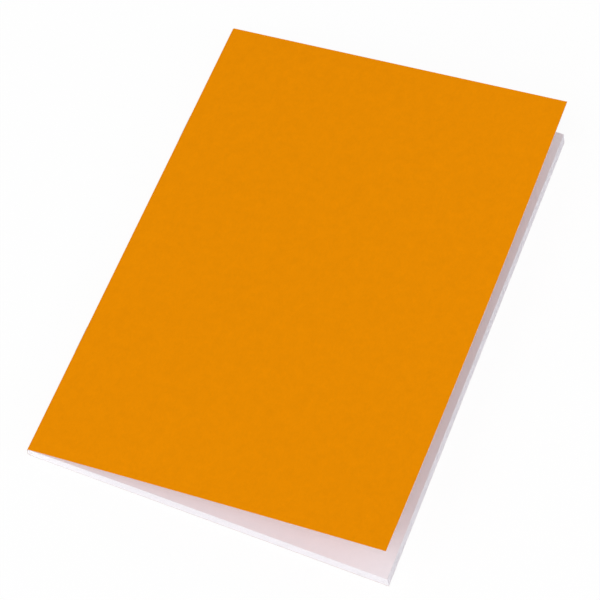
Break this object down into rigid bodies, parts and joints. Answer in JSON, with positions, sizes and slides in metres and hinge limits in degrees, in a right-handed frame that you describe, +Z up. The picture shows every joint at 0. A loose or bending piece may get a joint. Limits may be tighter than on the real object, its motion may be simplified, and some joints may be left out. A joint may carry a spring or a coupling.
{
  "type": "stapled exercise book",
  "caption": "Stapled exercise book with an orange card cover sprung slightly open over blank white leaves nested in the fold, held by wire staples.",
  "frame": {"origin": "middle of the closed book's outline, on the surface that the back cover lies on", "axes": "+X from the spine to the fore edge, +Y from the tail to the head, +Z up through the front cover"},
  "size_m": [0.1485, 0.21, 0.0288],
  "materials": {
    "cover": "matte",
    "paper": "matte",
    "staple": "satin"
  },
  "bodies": {
    "back_half": {"back_cover": "cover", "head_staple": "staple", "tail_staple": "staple", "sheet_01_back_leaf": "paper", "sheet_02_back_leaf": "paper", "sheet_03_back_leaf": "paper", "sheet_04_back_leaf": "paper", "sheet_05_back_leaf": "paper", "sheet_06_back_leaf": "paper", "sheet_07_back_leaf": "paper", "sheet_08_back_leaf": "paper", "sheet_09_back_leaf": "paper", "sheet_10_back_leaf": "paper", "sheet_11_back_leaf": "paper", "sheet_12_back_leaf": "paper", "sheet_13_back_leaf": "paper", "sheet_14_back_leaf": "paper", "sheet_15_back_leaf": "paper", "sheet_16_back_leaf": "paper", "sheet_17_back_leaf": "paper", "sheet_18_back_leaf": "paper", "sheet_19_back_leaf": "paper", "sheet_20_back_leaf": "paper"},
    "leaf_01": {"sheet_01_front_leaf": "paper"},
    "leaf_02": {"sheet_02_front_leaf": "paper"},
    "leaf_03": {"sheet_03_front_leaf": "paper"},
    "leaf_04": {"sheet_04_front_leaf": "paper"},
    "leaf_05": {"sheet_05_front_leaf": "paper"},
    "leaf_06": {"sheet_06_front_leaf": "paper"},
    "leaf_07": {"sheet_07_front_leaf": "paper"},
    "leaf_08": {"sheet_08_front_leaf": "paper"},
    "leaf_09": {"sheet_09_front_leaf": "paper"},
    "leaf_10": {"sheet_10_front_leaf": "paper"},
    "leaf_11": {"sheet_11_front_leaf": "paper"},
    "leaf_12": {"sheet_12_front_leaf": "paper"},
    "leaf_13": {"sheet_13_front_leaf": "paper"},
    "leaf_14": {"sheet_14_front_leaf": "paper"},
    "leaf_15": {"sheet_15_front_leaf": "paper"},
    "leaf_16": {"sheet_16_front_leaf": "paper"},
    "leaf_17": {"sheet_17_front_leaf": "paper"},
    "leaf_18": {"sheet_18_front_leaf": "paper"},
    "leaf_19": {"sheet_19_front_leaf": "paper"},
    "leaf_20": {"sheet_20_front_leaf": "paper", "spine_fold": "cover"},
    "cover": {"front_cover": "cover"}
  },
  "joints": [
    {"name": "leaves_turn", "type": "hinge", "parent": "back_half", "child": "leaf_20", "pos_m": [-0.07426, 0, 0.00257], "axis": [0, -1, 0], "range_deg": [0, 167]},
    {"name": "leaf_01_turn", "type": "hinge", "parent": "back_half", "child": "leaf_01", "pos_m": [-0.07426, 0, 0.00257], "axis": [0, -1, 0], "range_deg": [0, 167]},
    {"name": "leaf_02_turn", "type": "hinge", "parent": "back_half", "child": "leaf_02", "pos_m": [-0.07426, 0, 0.00257], "axis": [0, -1, 0], "range_deg": [0, 167]},
    {"name": "leaf_03_turn", "type": "hinge", "parent": "back_half", "child": "leaf_03", "pos_m": [-0.07426, 0, 0.00257], "axis": [0, -1, 0], "range_deg": [0, 167]},
    {"name": "leaf_04_turn", "type": "hinge", "parent": "back_half", "child": "leaf_04", "pos_m": [-0.07426, 0, 0.00257], "axis": [0, -1, 0], "range_deg": [0, 167]},
    {"name": "leaf_05_turn", "type": "hinge", "parent": "back_half", "child": "leaf_05", "pos_m": [-0.07426, 0, 0.00257], "axis": [0, -1, 0], "range_deg": [0, 167]},
    {"name": "leaf_06_turn", "type": "hinge", "parent": "back_half", "child": "leaf_06", "pos_m": [-0.07426, 0, 0.00257], "axis": [0, -1, 0], "range_deg": [0, 167]},
    {"name": "leaf_07_turn", "type": "hinge", "parent": "back_half", "child": "leaf_07", "pos_m": [-0.07426, 0, 0.00257], "axis": [0, -1, 0], "range_deg": [0, 167]},
    {"name": "leaf_08_turn", "type": "hinge", "parent": "back_half", "child": "leaf_08", "pos_m": [-0.07426, 0, 0.00257], "axis": [0, -1, 0], "range_deg": [0, 167]},
    {"name": "leaf_09_turn", "type": "hinge", "parent": "back_half", "child": "leaf_09", "pos_m": [-0.07426, 0, 0.00257], "axis": [0, -1, 0], "range_deg": [0, 167]},
    {"name": "leaf_10_turn", "type": "hinge", "parent": "back_half", "child": "leaf_10", "pos_m": [-0.07426, 0, 0.00257], "axis": [0, -1, 0], "range_deg": [0, 167]},
    {"name": "leaf_11_turn", "type": "hinge", "parent": "back_half", "child": "leaf_11", "pos_m": [-0.07426, 0, 0.00257], "axis": [0, -1, 0], "range_deg": [0, 167]},
    {"name": "leaf_12_turn", "type": "hinge", "parent": "back_half", "child": "leaf_12", "pos_m": [-0.07426, 0, 0.00257], "axis": [0, -1, 0], "range_deg": [0, 167]},
    {"name": "leaf_13_turn", "type": "hinge", "parent": "back_half", "child": "leaf_13", "pos_m": [-0.07426, 0, 0.00257], "axis": [0, -1, 0], "range_deg": [0, 167]},
    {"name": "leaf_14_turn", "type": "hinge", "parent": "back_half", "child": "leaf_14", "pos_m": [-0.07426, 0, 0.00257], "axis": [0, -1, 0], "range_deg": [0, 167]},
    {"name": "leaf_15_turn", "type": "hinge", "parent": "back_half", "child": "leaf_15", "pos_m": [-0.07426, 0, 0.00257], "axis": [0, -1, 0], "range_deg": [0, 167]},
    {"name": "leaf_16_turn", "type": "hinge", "parent": "back_half", "child": "leaf_16", "pos_m": [-0.07426, 0, 0.00257], "axis": [0, -1, 0], "range_deg": [0, 167]},
    {"name": "leaf_17_turn", "type": "hinge", "parent": "back_half", "child": "leaf_17", "pos_m": [-0.07426, 0, 0.00257], "axis": [0, -1, 0], "range_deg": [0, 167]},
    {"name": "leaf_18_turn", "type": "hinge", "parent": "back_half", "child": "leaf_18", "pos_m": [-0.07426, 0, 0.00257], "axis": [0, -1, 0], "range_deg": [0, 167]},
    {"name": "leaf_19_turn", "type": "hinge", "parent": "back_half", "child": "leaf_19", "pos_m": [-0.07426, 0, 0.00257], "axis": [0, -1, 0], "range_deg": [0, 167]},
    {"name": "cover_lift", "type": "hinge", "parent": "leaf_20", "child": "cover", "pos_m": [-0.07241, 0, 0.00518], "axis": [0, -1, 0], "range_deg": [-7.7, 170], "stiffness_Nm_per_rad": 0.05, "springref_deg": 5.6}
  ],
  "couplings": [
    {"joint": "leaf_01_turn", "follows": "leaves_turn", "ratio": 0.94},
    {"joint": "leaf_02_turn", "follows": "leaves_turn", "ratio": 0.94316},
    {"joint": "leaf_03_turn", "follows": "leaves_turn", "ratio": 0.94632},
    {"joint": "leaf_04_turn", "follows": "leaves_turn", "ratio": 0.94947},
    {"joint": "leaf_05_turn", "follows": "leaves_turn", "ratio": 0.95263},
    {"joint": "leaf_06_turn", "follows": "leaves_turn", "ratio": 0.95579},
    {"joint": "leaf_07_turn", "follows": "leaves_turn", "ratio": 0.95895},
    {"joint": "leaf_08_turn", "follows": "leaves_turn", "ratio": 0.96211},
    {"joint": "leaf_09_turn", "follows": "leaves_turn", "ratio": 0.96526},
    {"joint": "leaf_10_turn", "follows": "leaves_turn", "ratio": 0.96842},
    {"joint": "leaf_11_turn", "follows": "leaves_turn", "ratio": 0.97158},
    {"joint": "leaf_12_turn", "follows": "leaves_turn", "ratio": 0.97474},
    {"joint": "leaf_13_turn", "follows": "leaves_turn", "ratio": 0.97789},
    {"joint": "leaf_14_turn", "follows": "leaves_turn", "ratio": 0.98105},
    {"joint": "leaf_15_turn", "follows": "leaves_turn", "ratio": 0.98421},
    {"joint": "leaf_16_turn", "follows": "leaves_turn", "ratio": 0.98737},
    {"joint": "leaf_17_turn", "follows": "leaves_turn", "ratio": 0.99053},
    {"joint": "leaf_18_turn", "follows": "leaves_turn", "ratio": 0.99368},
    {"joint": "leaf_19_turn", "follows": "leaves_turn", "ratio": 0.99684}
  ]
}
